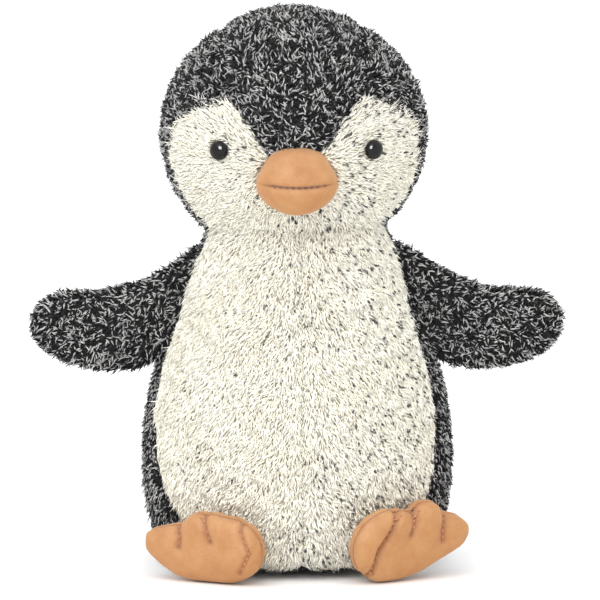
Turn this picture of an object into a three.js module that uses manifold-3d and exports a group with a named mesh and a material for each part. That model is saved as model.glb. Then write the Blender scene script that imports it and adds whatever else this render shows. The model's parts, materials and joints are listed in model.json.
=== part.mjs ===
// A seated plush penguin, 230 mm tall, sewn from pile-fabric panels over fibre stuffing.
// Units are millimetres. +Z is up, the toy faces -Y, and the origin is the centre of its base.

import * as THREE from 'three';
import { mergeVertices } from 'three/addons/utils/BufferGeometryUtils.js';
import Module from 'manifold-3d';

const wasm = await Module();
wasm.setup();

// Driving dimensions
const HEIGHT = 230;
const HEAD_HALF = { x: 54.5, y: 49, z: 51.5 };
const HEAD_SHIFT = -2; // the head sits this far to one side
const NECK_Z = 138;
const NECK_GAP = 8; // room between head and body panels that lets the head nod
const NECK_BALL_R = 22;
const NECK_STUB = { r: 15.4, bottom: 112 }; // the round post under the ball
const NECK_PLAY = 1; // room round the neck ball and stub that lets them turn
const BODY_DEPTH = { front: 0.9, back: 0.8 }; // of the half width
const BASE_R = 45;
const FABRIC = 1.8; // thickness of pile fabric
const SUEDE = 1.2; // thickness of the suede-like fabric
const GAP = 0.3; // between touching pieces
const SEAM = GAP / 2; // each side of a seam gives up this much
const BELLY_TOP_Z = NECK_Z - NECK_GAP / 2;
const HEAD_BOTTOM_Z = NECK_Z + NECK_GAP / 2;
const BEAK = { x: 17.4, y: 14.5, z: 13.3, centreY: -46, centreZ: 163.3, mouthZ: 162.4 };
const EYE = { domeR: 4, domeHeight: 3, rim: 0.6, stemR: 1.6, stemLength: 13, x: 31.5, z: 175 };
const STEM_RIB = { spacing: 2.5, depth: 0.3 };
const WASHER = { r: 6, thickness: 1.4, depth: 3.4 }; // depth is under the pile's surface
const POUCH = { r: 29, height: 17, corner: 5 };
const PAD_FLAT = 0.6; // the straight part of a pad's thickness, between its rounded edges
const FLIPPER_EDGE = 7; // half thickness of a flipper, and the radius of its rounded edge
const FOOT_EDGE = 5.5;
// lean tips the toes forward from upright, and splay turns them outward, in degrees
const FOOT = { x: 41.5, y: -47, z: 7, lean: 15, splay: 30 };

const CHEEK_BACK_Y = -12; // the cream patches end this far in front of the middle
const BELLY_BACK_Y = -8;
const LEFT_CHEEK_DROP = 1.8; // the left patch sits lower than the right
const RIGHT_BELLY_TRIM = 3.4; // and the belly's right edge comes further in than its left
// The dark strip over the crown: its half widths, the heights where it starts and is widest in front,
// and where it is widest behind
const CROWN = { half: 27, napeHalf: 15, startZ: 150, wideZ: 196, wideBackZ: 198.5 };

const HEAD_Z = HEIGHT - HEAD_HALF.z;
const LATHE_SIDES = 24;
const RIM_OVERLAP = 40; // how far cutters run past what they cut
const FAR = 200; // beyond the toy in every direction
const UP = new THREE.Vector3(0, 0, 1);

const FINISHES = {
  dark_pile: { color: 0x505052, roughness: 0.95, metalness: 0 },
  cream_pile: { color: 0xf3eddb, roughness: 0.95, metalness: 0 },
  suede: { color: 0xe1a06c, roughness: 0.8, metalness: 0 },
  eye_plastic: { color: 0x0c0b0b, roughness: 0.12, metalness: 0 },
  washer_plastic: { color: 0xe8e6e0, roughness: 0.45, metalness: 0 },
  fibre_fill: { color: 0xf7f6f2, roughness: 1, metalness: 0 },
  pouch_cloth: { color: 0xd9d4c8, roughness: 0.9, metalness: 0 },
};

const penguin = new THREE.Group();

// Solids

function toSolid(geometry) {
  const bare = geometry.index ? geometry.toNonIndexed() : geometry.clone();
  bare.deleteAttribute('normal');
  bare.deleteAttribute('uv');
  const merged = mergeVertices(bare, 1e-4);
  return new wasm.Manifold(new wasm.Mesh({
    numProp: 3,
    vertProperties: new Float32Array(merged.attributes.position.array),
    triVerts: new Uint32Array(merged.index.array),
  }));
}

function toGeometry(solid) {
  const { vertProperties, triVerts } = solid.getMesh();
  const geometry = new THREE.BufferGeometry();
  geometry.setAttribute('position', new THREE.BufferAttribute(vertProperties, 3));
  geometry.setIndex(new THREE.BufferAttribute(triVerts, 1));
  geometry.computeVertexNormals();
  return geometry;
}

function addPiece(name, finish, solid, parent = penguin) {
  const mesh = new THREE.Mesh(toGeometry(solid), new THREE.MeshStandardMaterial(FINISHES[finish]));
  mesh.name = name;
  parent.add(mesh);
}

function block(x, y, z) {
  const size = [x[1] - x[0], y[1] - y[0], z[1] - z[0]];
  const geometry = new THREE.BoxGeometry(...size);
  geometry.translate((x[0] + x[1]) / 2, (y[0] + y[1]) / 2, (z[0] + z[1]) / 2);
  return toSolid(geometry);
}

// Everything on one side of the centre plane, less half a seam. side is 1 for +X and -1 for -X.
function halfSpace(side, centre = 0) {
  const x = side > 0 ? [centre + SEAM, FAR] : [-FAR, centre - SEAM];
  return block(x, [-FAR, FAR], [-FAR, 2 * FAR]);
}

function slab(low, high) {
  return block([-FAR, FAR], [-FAR, FAR], [low, high]);
}

// A solid of revolution about Z, its profile given as [radius, height] from bottom to top.
function revolve(profile, sides = LATHE_SIDES) {
  const points = profile.map(([r, z]) => new THREE.Vector2(Math.max(r, 0), z));
  const geometry = new THREE.LatheGeometry(points, sides);
  geometry.rotateX(Math.PI / 2);
  return toSolid(geometry);
}

function ball(half, centre, sides = LATHE_SIDES, rings = 12) {
  const geometry = new THREE.SphereGeometry(1, sides, rings);
  geometry.rotateX(Math.PI / 2);
  geometry.scale(half.x, half.y, half.z);
  geometry.translate(centre.x, centre.y, centre.z);
  return toSolid(geometry);
}

// A prism through the whole toy along Y, its outline given in X and Z.
function prism(outline, y) {
  const geometry = new THREE.ExtrudeGeometry(outline, {
    depth: y[1] - y[0],
    bevelEnabled: false,
    curveSegments: 3,
  });
  geometry.rotateX(Math.PI / 2);
  geometry.translate(0, y[1], 0);
  return toSolid(geometry);
}

// Closed outline: a smooth curve through the points, then straight back to the first.
function outlineThrough(points, divisions) {
  const curve = new THREE.SplineCurve(points.map(([x, y]) => new THREE.Vector2(x, y)));
  return new THREE.Shape(curve.getPoints(divisions));
}

function mirrored(points) {
  return points.map(([x, y]) => [-x, y]).reverse();
}

function forSide(points, side) {
  return side > 0 ? points : mirrored(points);
}

// Head

function headForm(inset) {
  const half = {
    x: HEAD_HALF.x - inset,
    y: HEAD_HALF.y - inset,
    z: HEAD_HALF.z - inset,
  };
  return ball(half, { x: HEAD_SHIFT, y: 0, z: HEAD_Z });
}

// The cream patch on one side of the face, seen from the front. grow widens it for the cut beside it.
function cheekOutline(side, grow) {
  const g = grow;
  const drop = side < 0 ? LEFT_CHEEK_DROP : 0;
  const points = [
    [-g, HEAD_BOTTOM_Z - RIM_OVERLAP],
    [50 + g, HEAD_BOTTOM_Z - RIM_OVERLAP],
    [50 + g, 182 + g / 2],
    [43 + g / 2, 191.5 + g],
    [34, 197 + g],
    [28 - g, 196.5 + g],
    [21 - g, 190.5 + g / 2],
    [12 - g, 176 + g],
    [-g, 164 + g],
  ];
  return headShape(forSide(points.map(([x, z]) => [x, z - drop]), side));
}

// An outline round the head's own middle line.
function headShape(points) {
  return new THREE.Shape(points.map(([x, z]) => new THREE.Vector2(x + HEAD_SHIFT, z)));
}

// The dark strip over the crown: its front point lies between the cheeks.
function gussetCutter(grow) {
  const top = HEIGHT + RIM_OVERLAP;
  const low = HEAD_BOTTOM_Z - RIM_OVERLAP;
  const crown = CROWN.half + grow;
  const nape = CROWN.napeHalf + grow;
  const front = [[0, CROWN.startZ], [crown, CROWN.wideZ], [crown, top], [-crown, top],
    [-crown, CROWN.wideZ]];
  const back = [[-nape, low], [nape, low], [crown, CROWN.wideBackZ], [crown, top], [-crown, top],
    [-crown, CROWN.wideBackZ]];
  const lapped = 0.001;
  return prism(headShape(front), [-FAR, 0]).add(prism(headShape(back), [-lapped, FAR]));
}

function buildHeadPanels() {
  const open = slab(HEAD_BOTTOM_Z, HEIGHT + RIM_OVERLAP);
  const shell = headForm(0).subtract(headForm(FABRIC)).intersect(open);
  const cheekDepth = [-FAR, CHEEK_BACK_Y];
  let dark = shell;
  for (const [name, side] of [['right_cheek', 1], ['left_cheek', -1]]) {
    const patch = prism(cheekOutline(side, 0), cheekDepth);
    const hole = eyeHole(side);
    const cheek = shell.intersect(patch).intersect(halfSpace(side, HEAD_SHIFT));
    addPiece(name, 'cream_pile', cheek.subtract(hole));
    dark = dark.subtract(prism(cheekOutline(side, GAP), [cheekDepth[0], cheekDepth[1] + GAP]));
  }
  addPiece('head_gusset', 'dark_pile', dark.intersect(gussetCutter(0)));
  const sides = dark.subtract(gussetCutter(GAP));
  addPiece('right_head_side', 'dark_pile', sides.intersect(halfSpace(1, HEAD_SHIFT)));
  addPiece('left_head_side', 'dark_pile', sides.intersect(halfSpace(-1, HEAD_SHIFT)));
}

// Where an eye sits on the head, and the direction that it looks.
function eyeSeat(side) {
  const dx = side * EYE.x;
  const dz = EYE.z - HEAD_Z;
  const share = 1 - (dx / HEAD_HALF.x) ** 2 - (dz / HEAD_HALF.z) ** 2;
  const dy = -HEAD_HALF.y * Math.sqrt(share);
  const normal = new THREE.Vector3(dx / HEAD_HALF.x ** 2, dy / HEAD_HALF.y ** 2, dz / HEAD_HALF.z ** 2);
  return {
    point: new THREE.Vector3(HEAD_SHIFT + dx, dy, HEAD_Z + dz),
    normal: normal.normalize(),
  };
}

// A solid of revolution whose axis starts on the eye's seat and looks along its normal.
function turnedOnSeat(profile, side, sides = 12) {
  const { point, normal } = eyeSeat(side);
  const points = profile.map(([r, z]) => new THREE.Vector2(r, z));
  const geometry = new THREE.LatheGeometry(points, sides);
  geometry.rotateX(Math.PI / 2);
  geometry.applyQuaternion(new THREE.Quaternion().setFromUnitVectors(UP, normal));
  geometry.translate(point.x, point.y, point.z);
  return toSolid(geometry);
}

function eyeHole(side) {
  const r = EYE.stemR + GAP;
  return turnedOnSeat([[0, -FABRIC * 3], [r, -FABRIC * 3], [r, FABRIC], [0, FABRIC]], side);
}

function buildEye(prefix, side) {
  const { domeR, domeHeight, rim, stemR, stemLength } = EYE;
  const seat = GAP;
  const ribs = [];
  const { spacing, depth } = STEM_RIB;
  for (let at = WASHER.depth + WASHER.thickness + 1; at < stemLength - spacing; at += spacing) {
    ribs.unshift([stemR, -at], [stemR - depth, -at - spacing / 2]);
  }
  const profile = [[0, -stemLength], [stemR - 0.5, -stemLength], ...ribs, [stemR, -FABRIC], [stemR, seat],
    [domeR - rim / 2, seat], [domeR, seat + rim]];
  const steps = 3;
  for (let i = 1; i < steps; i += 1) {
    const a = (i / steps) * (Math.PI / 2);
    profile.push([domeR * Math.cos(a), seat + rim + (domeHeight - rim) * Math.sin(a)]);
  }
  profile.push([0, seat + domeHeight]);
  addPiece(`${prefix}_eye`, 'eye_plastic', turnedOnSeat(profile, side));

  const bore = stemR + GAP;
  const front = -WASHER.depth;
  const back = front - WASHER.thickness;
  const ring = [[bore, back], [WASHER.r, back], [WASHER.r, front], [bore, front], [bore, back]];
  addPiece(`${prefix}_eye_washer`, 'washer_plastic', turnedOnSeat(ring, side));
}

// Room in the head stuffing for an eye's washer and stem.
function eyePocket(side) {
  const washerR = WASHER.r + GAP;
  const washerEnd = -WASHER.depth - WASHER.thickness - GAP;
  const stemR = EYE.stemR + GAP;
  const stemEnd = -EYE.stemLength - 1;
  return turnedOnSeat([[0, stemEnd], [stemR, stemEnd], [stemR, washerEnd], [washerR, washerEnd],
    [washerR, 1], [0, 1]], side);
}

function buildHeadStuffing() {
  const pockets = eyePocket(1).add(eyePocket(-1)).add(neckBall(NECK_PLAY));
  const stuffing = headForm(FABRIC + GAP).intersect(slab(HEAD_BOTTOM_Z, HEIGHT));
  addPiece('head_stuffing', 'fibre_fill', stuffing.subtract(pockets));
}

// Beak

function beakForm(inset) {
  const half = { x: BEAK.x - inset, y: BEAK.y - inset, z: BEAK.z - inset };
  return ball(half, { x: HEAD_SHIFT, y: BEAK.centreY, z: BEAK.centreZ }, 18, 8);
}

function buildBeak() {
  const offFace = (solid) => solid.subtract(headForm(-GAP));
  const shell = offFace(beakForm(0).subtract(beakForm(SUEDE)));
  addPiece('beak_upper', 'suede', shell.intersect(slab(BEAK.mouthZ + SEAM, HEIGHT)));
  addPiece('beak_lower', 'suede', shell.intersect(slab(0, BEAK.mouthZ - SEAM)));
  addPiece('beak_stuffing', 'fibre_fill', offFace(beakForm(SUEDE + GAP)));
}

// Neck: a ball for the head to nod on, above a round stub in the body for it to turn on.

function neckBall(clearance) {
  const r = NECK_BALL_R + clearance;
  return ball({ x: r, y: r, z: r }, { x: 0, y: 0, z: NECK_Z }, 16, 8);
}

function neckStub(clearance) {
  const r = NECK_STUB.r + clearance;
  const low = NECK_STUB.bottom - clearance;
  return revolve([[0, low], [r, low], [r, NECK_Z], [0, NECK_Z]], 16);
}

function buildNeck() {
  addPiece('neck_stuffing', 'fibre_fill', neckBall(0).add(neckStub(0)));
}

// Body

// The pear's half width at a few heights, from the edge of the flat base to past the neck.
const PEAR = [
  [BASE_R, 0], [53, 4], [58, 11], [61.6, 21], [63.4, 33], [63.9, 46], [63.2, 60], [61, 73],
  [57, 87], [51.5, 103], [45, 119], [37.6, NECK_Z],
];

function bodyForm(inset) {
  const low = inset;
  const profile = [[0, low]];
  for (const [r, z] of PEAR) {
    profile.push([r - inset, Math.max(z, low)]);
  }
  profile[1][0] = BASE_R - inset * 0.5;
  profile.push([0, NECK_Z]);
  const points = profile.map(([r, z]) => new THREE.Vector2(r, z));
  const geometry = new THREE.LatheGeometry(points, LATHE_SIDES);
  geometry.rotateX(Math.PI / 2);
  const position = geometry.attributes.position;
  for (let i = 0; i < position.count; i += 1) {
    const y = position.getY(i);
    position.setY(i, y * (y < 0 ? BODY_DEPTH.front : BODY_DEPTH.back));
  }
  return toSolid(geometry);
}

function clampShare(share) {
  return Math.min(Math.max(share, 0), 1);
}

// The cream front of one side, seen from the front.
function bellyOutline(side, grow) {
  const g = grow;
  const edge = [[36, 5], [45.5, 21], [53.5, 33], [57.5, 46], [58.5, 66], [54.5, 84], [46, 104],
    [40.5, 124], [35.5, BELLY_TOP_Z], [33, BELLY_TOP_Z + RIM_OVERLAP]];
  const trim = (z) => (side > 0 ? RIGHT_BELLY_TRIM * Math.sin(Math.PI * clampShare(z / BELLY_TOP_Z)) : 0);
  const points = [[-g, -RIM_OVERLAP], [30 + g, -RIM_OVERLAP],
    ...edge.map(([x, z]) => [x + g - trim(z), z]), [-g, BELLY_TOP_Z + RIM_OVERLAP]];
  return new THREE.Shape(forSide(points, side).map(([x, z]) => new THREE.Vector2(x, z)));
}

function buildBodyPanels() {
  const open = slab(-1, BELLY_TOP_Z);
  const shell = bodyForm(0).subtract(bodyForm(FABRIC)).intersect(open);
  const disc = (r) => {
    const geometry = new THREE.CylinderGeometry(r, r, 4 * FABRIC, LATHE_SIDES);
    geometry.rotateX(Math.PI / 2);
    geometry.scale(1, (BODY_DEPTH.front + BODY_DEPTH.back) / 2, 1);
    return toSolid(geometry);
  };
  const baseR = BASE_R - 1;
  addPiece('base_panel', 'dark_pile', shell.intersect(disc(baseR)));
  const sides = shell.subtract(disc(baseR + GAP));
  const depth = [-FAR, BELLY_BACK_Y];
  let dark = sides;
  for (const [prefix, side] of [['right', 1], ['left', -1]]) {
    const front = prism(bellyOutline(side, 0), depth);
    addPiece(`${prefix}_belly`, 'cream_pile', sides.intersect(front).intersect(halfSpace(side)));
    dark = dark.subtract(prism(bellyOutline(side, GAP), [depth[0], depth[1] + GAP]));
  }
  addPiece('right_back', 'dark_pile', dark.intersect(halfSpace(1)));
  addPiece('left_back', 'dark_pile', dark.intersect(halfSpace(-1)));
}

function pouchForm(clearance) {
  const r = POUCH.r + clearance;
  const low = FABRIC + GAP - clearance;
  const top = FABRIC + GAP + POUCH.height + clearance;
  const corner = POUCH.corner;
  return revolve([[0, low], [r - corner, low], [r, low + corner], [r, top - corner], [r - corner, top],
    [0, top]], 16);
}

function buildBodyFilling() {
  addPiece('pellet_pouch', 'pouch_cloth', pouchForm(0));
  const inside = bodyForm(FABRIC + GAP).intersect(slab(0, BELLY_TOP_Z));
  const half = POUCH.r * 0.6;
  const below = block([-half, half], [-half, half], [-RIM_OVERLAP, POUCH.height]);
  const room = pouchForm(GAP).add(below).add(neckBall(NECK_PLAY)).add(neckStub(NECK_PLAY));
  addPiece('torso_stuffing', 'fibre_fill', inside.subtract(room));
}

// Pads: flippers and feet are a front and a back panel sewn round the edge over a filling.

// A pad is an outline with a fully rounded edge of radius edge, flat in X and Z and thick along Y.
function pad(outline, edge) {
  const geometry = new THREE.ExtrudeGeometry(outline, {
    depth: PAD_FLAT,
    bevelEnabled: true,
    bevelThickness: edge,
    bevelSize: edge,
    bevelSegments: 2,
    steps: 1,
  });
  geometry.rotateX(Math.PI / 2);
  geometry.translate(0, PAD_FLAT / 2, 0);
  return toSolid(geometry);
}

function buildPad(names, finish, outline, edge, thickness, parent) {
  const shell = pad(outline, edge).subtract(pad(outline, edge - thickness));
  const front = block([-FAR, FAR], [-FAR, -SEAM], [-FAR, FAR]);
  const back = block([-FAR, FAR], [SEAM, FAR], [-FAR, FAR]);
  addPiece(names[0], finish, shell.intersect(front), parent);
  addPiece(names[1], finish, shell.intersect(back), parent);
  addPiece(names[2], 'fibre_fill', pad(outline, edge - thickness - 2 * GAP), parent);
}

// The flipper's middle line, FLIPPER_EDGE inside its real edge: root top, round the tip, root bottom.
const FLIPPER = [[56.7, 112], [65, 109.8], [75, 107.2], [87, 106.2], [95, 106.8], [100.8, 103.6],
  [102.5, 98.5], [99.5, 93.2], [92, 89], [83, 86.9], [74, 86.3], [65.7, 87]];

function buildFlippers() {
  for (const [prefix, side] of [['right', 1], ['left', -1]]) {
    const names = ['flipper_front', 'flipper_back', 'flipper_stuffing'].map((n) => `${prefix}_${n}`);
    const outline = outlineThrough(forSide(FLIPPER, side), 16);
    buildPad(names, 'dark_pile', outline, FLIPPER_EDGE, FABRIC, penguin);
  }
}

// Each foot's middle line, FOOT_EDGE inside its real edge, from the heel at the bottom up its inner
// side, over the toes and down its outer side: u runs outward and w up. The feet differ as sewn.
const FOOT_OUTLINES = {
  right: [[-13, -0.7], [-18, 2.2], [-20.8, 7.5], [-20.8, 12.2], [-18.3, 16.4], [-13.5, 18.9], [-8.5, 19.2],
    [-4.5, 17.8], [-1, 17.8], [2, 19.8], [5.5, 21.6], [8.6, 20.4], [11, 17.4], [14.5, 15.6], [19.5, 14.6],
    [22.3, 12.3], [20, 9.8], [14.7, 7], [9.5, 4.3], [4, 1.5], [-5, -0.7], [-13, -0.7]],
  left: [[-14.5, -0.7], [-20, 1.2], [-23.5, 4.5], [-24.7, 9], [-23.7, 13], [-21, 15.7], [-17, 16.6],
    [-13, 16.8], [-10, 17.8], [-6.5, 18.2], [-3, 17.6], [0.5, 15.4], [4.5, 12.9], [9, 11.4], [13.5, 10.4],
    [17.5, 9], [15.8, 6.6], [12.5, 3.6], [8.5, 1], [3, -0.7], [-6, -0.7], [-14.5, -0.7]],
};

function buildFeet() {
  for (const [prefix, side] of [['right', 1], ['left', -1]]) {
    const names = ['foot_sole', 'foot_top', 'foot_stuffing'].map((n) => `${prefix}_${n}`);
    const outline = outlineThrough(forSide(FOOT_OUTLINES[prefix], side), 34);
    const foot = new THREE.Group();
    foot.rotation.order = 'ZYX';
    foot.rotation.x = THREE.MathUtils.degToRad(FOOT.lean);
    foot.rotation.z = THREE.MathUtils.degToRad(side * FOOT.splay);
    foot.position.set(side * FOOT.x, FOOT.y, FOOT.z);
    penguin.add(foot);
    buildPad(names, 'suede', outline, FOOT_EDGE, SUEDE, foot);
  }
}

buildHeadPanels();
buildHeadStuffing();
buildBeak();
buildEye('right', 1);
buildEye('left', -1);
buildNeck();
buildBodyPanels();
buildBodyFilling();
buildFlippers();
buildFeet();

export default penguin;
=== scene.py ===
# A seated plush penguin: pile fabric over fibre stuffing, with a suede beak and suede feet.
# Units are metres, +Z is up and the toy faces -Y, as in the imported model.

import json
import math

import bpy
import numpy as np
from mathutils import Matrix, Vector


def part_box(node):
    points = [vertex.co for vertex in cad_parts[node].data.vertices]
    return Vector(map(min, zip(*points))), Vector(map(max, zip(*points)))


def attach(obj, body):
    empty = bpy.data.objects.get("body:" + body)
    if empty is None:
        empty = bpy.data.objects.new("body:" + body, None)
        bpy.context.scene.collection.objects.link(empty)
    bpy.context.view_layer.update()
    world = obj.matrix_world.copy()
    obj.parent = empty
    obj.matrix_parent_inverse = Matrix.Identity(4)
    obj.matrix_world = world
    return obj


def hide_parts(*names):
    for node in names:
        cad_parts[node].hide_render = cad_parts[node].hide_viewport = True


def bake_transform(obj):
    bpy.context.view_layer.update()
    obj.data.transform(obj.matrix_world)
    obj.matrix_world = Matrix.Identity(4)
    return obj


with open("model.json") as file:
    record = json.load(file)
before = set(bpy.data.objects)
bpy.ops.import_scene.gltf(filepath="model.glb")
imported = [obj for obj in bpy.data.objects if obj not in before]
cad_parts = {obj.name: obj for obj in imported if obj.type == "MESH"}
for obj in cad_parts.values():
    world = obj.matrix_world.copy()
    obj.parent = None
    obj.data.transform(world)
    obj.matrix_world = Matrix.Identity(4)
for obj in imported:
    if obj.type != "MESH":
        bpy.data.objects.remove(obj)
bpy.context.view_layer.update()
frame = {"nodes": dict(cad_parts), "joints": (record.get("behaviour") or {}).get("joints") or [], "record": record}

MM = 0.001
SIDES = (("right", 1), ("left", -1))  # right is +X, as a person who faces the toy sees it

# Pile and fabric
PILE_DEPTH = 2.3 * MM  # the backing lies this far under the pile's mean surface
BACKING = 0.9 * MM  # thickness of the pile's knitted backing
SUEDE = 0.8 * MM  # thickness of the suede cloth
SEAM_DEPTH = 0.7 * MM  # a seam is drawn in by this much
SEAM_REACH = 2.2 * MM
FLOOR_CLEARANCE = 0.3 * MM

# Cloth under pressure
CLOTH_FRAMES = 20
PRESSURE = 4.0
BODY_VOXEL = 4.0 * MM  # the size of the cloth's meshes
FLIPPER_VOXEL = 3.0 * MM
SUEDE_VOXEL = 1.6 * MM
BODY_SWELL = 1.2 * MM  # the most that the filling may push the cloth out
SUEDE_SWELL = 1.0 * MM

# Stuffing
STUFFING_INSET = 1.9 * MM  # behind the outer face of the fabric, clear of its seams
SUEDE_STUFFING_INSET = 1.0 * MM
WASHER_ROOM = 7.0 * MM  # round each eye the stuffing lies deeper, behind the washer
WASHER_DEPTH = 3.6 * MM

# Head
CROWN_NARROWING = 1.1  # powers of a circle's half width: above 1 it narrows sooner, below 1 later
JOWL_FULLNESS = 0.86
RIGHT_JOWL = 1.4 * MM  # the right side of the face is this much fuller
EYE_R = 4.0 * MM
EYE_CLEAR = 0.9 * MM  # the bare ring round each eye

# Beak
BEAK_HALF_DEPTH = 14.5 * MM
BEAK_DRAW = 0.46  # how far the beak's sides draw in towards its top
BEAK_EASE = np.array([-0.2, -0.5, 0.9]) * MM
MOUTH_BOW = 0.35 * MM
MOUTH_STITCHED = 21 * MM  # the middle of the mouth, sewn over with dark thread
THREAD_R = 0.38 * MM

# Neck and body
NECK_TOP_Z = 141 * MM  # the body's fabric runs up to here, just inside the head's
NECK_BOTTOM_Z = 140 * MM  # and the head's runs down to here
BASE_LIFT = 4.5 * MM  # the rim of the base is drawn up off the floor by this much
BASE_LIFT_TOP = 14 * MM
CHEEK_BACK_Y = -12 * MM  # the cream panels end here at the back
BELLY_BACK_Y = -3 * MM

# Feet
FOOT_LEAN = math.radians(15)
FOOT_EASE = 0.7 * MM
FOOT_FRONT = 4.5 * MM  # from a foot's middle to the front of its sole
HEEL_DEPTH = 7 * MM  # a heel reaches back to the body by this much
HEEL_REACH = 13 * MM
HEEL_U = {"right": -4 * MM, "left": -6 * MM}


# ---------------------------------------------------------------- the frame


def node_points(*names):
    parts = []
    for name in names:
        mesh = frame["nodes"][name].data
        co = np.empty(3 * len(mesh.vertices))
        mesh.vertices.foreach_get("co", co)
        parts.append(co.reshape(-1, 3))
    return np.concatenate(parts)


def joint(name):
    return next(j for j in frame["joints"] if j["name"] == name)


def head_ellipsoid():
    """The middle and half sizes of the head, from its widest point and its crown."""
    points = node_points("left_head_side", "right_head_side", "head_gusset")
    low, high = points.min(0), points.max(0)
    widest = points[np.argmax(points[:, 0])]
    centre = np.array([(low[0] + high[0]) / 2, 0.0, widest[2]])
    half = np.array([(high[0] - low[0]) / 2, high[1], high[2] - widest[2]])
    return centre, half


def body_profile():
    """Heights and half widths of the body's rings, read along its side and carried on to the neck."""
    points = node_points("right_belly", "right_back")
    side = points[(np.abs(points[:, 1]) < 0.01 * MM) & (points[:, 0] > 20 * MM)]
    heights = np.unique(np.round(side[:, 2], 5))
    widths = np.array([side[np.abs(side[:, 2] - z) < 0.02 * MM, 0].max() for z in heights])
    slope = (widths[-1] - widths[-2]) / (heights[-1] - heights[-2])
    top = NECK_TOP_Z + 2 * MM
    heights = np.append(heights, top)
    widths = np.append(widths, widths[-1] + slope * (top - heights[-2]))
    return heights, widths


HEAD_CENTRE, HEAD_HALF = head_ellipsoid()
BODY_Z, BODY_W = body_profile()
BODY_FRONT = -node_points("right_belly")[:, 1].min() / BODY_W.max()
BODY_BACK = node_points("right_back")[:, 1].max() / BODY_W.max()
BASE_R = node_points("base_panel")[:, 0].max()
MOUTH_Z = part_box("beak_lower")[1].z
BEAK_LOW, BEAK_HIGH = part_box("beak_lower")[0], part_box("beak_upper")[1]
BEAK_HALF = np.array([(BEAK_HIGH.x - BEAK_LOW.x) / 2, BEAK_HALF_DEPTH, (BEAK_HIGH.z - BEAK_LOW.z) / 2])
BEAK_FRONT = min(BEAK_LOW.y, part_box("beak_upper")[0].y)
BEAK_CENTRE = np.array([HEAD_CENTRE[0], BEAK_FRONT + BEAK_HALF[1], (BEAK_HIGH.z + BEAK_LOW.z) / 2])


def eye_seat(prefix):
    """The middle of an eye on the head's surface, and the way it looks."""
    points = node_points(f"{prefix}_eye")
    reach = np.linalg.norm((points - HEAD_CENTRE) / HEAD_HALF, axis=1)
    tip = points[np.argmax(reach)]
    normal = (tip - HEAD_CENTRE) / HEAD_HALF**2
    normal /= np.linalg.norm(normal)
    return HEAD_CENTRE + (tip - HEAD_CENTRE) / reach.max(), normal


EYES = {prefix: eye_seat(prefix) for prefix, _ in SIDES}


# ---------------------------------------------------------------- arrays and meshes


def build_mesh(name, co, faces):
    """An object from points and faces that all have the same number of corners."""
    count, corners = faces.shape
    mesh = bpy.data.meshes.new(name)
    mesh.vertices.add(len(co))
    mesh.vertices.foreach_set("co", np.asarray(co, np.float32).ravel())
    mesh.loops.add(count * corners)
    mesh.loops.foreach_set("vertex_index", np.asarray(faces, np.int32).ravel())
    mesh.polygons.add(count)
    mesh.polygons.foreach_set("loop_start", np.arange(count, dtype=np.int32) * corners)
    mesh.polygons.foreach_set("use_smooth", np.ones(count, bool))
    mesh.update(calc_edges=True)
    obj = bpy.data.objects.new(name, mesh)
    bpy.context.scene.collection.objects.link(obj)
    return obj


def ring_form(name, rings):
    """A closed form through rings of points, its two ends closed flat."""
    count = len(rings[0])
    co = np.concatenate(rings)
    faces = [list(range(count))[::-1]]
    for ring in range(len(rings) - 1):
        low = ring * count
        for i in range(count):
            j = (i + 1) % count
            faces.append([low + i, low + j, low + count + j, low + count + i])
    faces.append([(len(rings) - 1) * count + i for i in range(count)])
    mesh = bpy.data.meshes.new(name)
    mesh.from_pydata(co.tolist(), [], faces)
    obj = bpy.data.objects.new(name, mesh)
    bpy.context.scene.collection.objects.link(obj)
    return obj


def points_of(obj):
    co = np.empty(3 * len(obj.data.vertices))
    obj.data.vertices.foreach_get("co", co)
    return co.reshape(-1, 3)


def triangles_of(obj):
    obj.data.calc_loop_triangles()
    tri = np.empty(3 * len(obj.data.loop_triangles), np.int32)
    obj.data.loop_triangles.foreach_get("vertices", tri)
    return tri.reshape(-1, 3)


def set_points(obj, co):
    obj.data.vertices.foreach_set("co", np.asarray(co, np.float32).ravel())
    obj.data.update()


def remove(obj):
    """Delete a working form together with its mesh."""
    mesh = obj.data
    bpy.data.objects.remove(obj)
    bpy.data.meshes.remove(mesh)


def apply_modifiers(obj):
    depsgraph = bpy.context.evaluated_depsgraph_get()
    mesh = bpy.data.meshes.new_from_object(obj.evaluated_get(depsgraph))
    obj.modifiers.clear()
    old = obj.data
    obj.data = mesh
    bpy.data.meshes.remove(old)


def vertex_normals(co, tri):
    a, b, c = co[tri[:, 0]], co[tri[:, 1]], co[tri[:, 2]]
    face = np.cross(b - a, c - a)
    total = np.zeros_like(co)
    for corner in range(3):
        for axis in range(3):
            total[:, axis] += np.bincount(tri[:, corner], face[:, axis], len(co))
    return unit(total)


def unit(vectors):
    return vectors / np.maximum(np.linalg.norm(vectors, axis=-1, keepdims=True), 1e-12)


def wander(points, size, seed):
    """Smooth noise from -1 to 1 in three channels, its swells about size across."""
    rng = np.random.default_rng(seed)
    waves, turn = 7, 6.28
    total = np.zeros((len(points), 3))
    for channel in range(3):
        for direction in unit(rng.normal(size=(waves, 3))):
            length = size * rng.uniform(0.7, 1.8)
            phase = points @ direction * 2 * math.pi / length
            total[:, channel] += np.sin(phase + rng.uniform(0, turn))
    return total / math.sqrt(waves * 2)


def edge_distance(points, a, b):
    """Distance in the plane to the straight edge from a to b."""
    edge = b - a
    along = np.clip((points - a) @ edge / (edge @ edge), 0, 1)
    return np.linalg.norm(points - a - along[:, None] * edge, axis=1)


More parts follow.
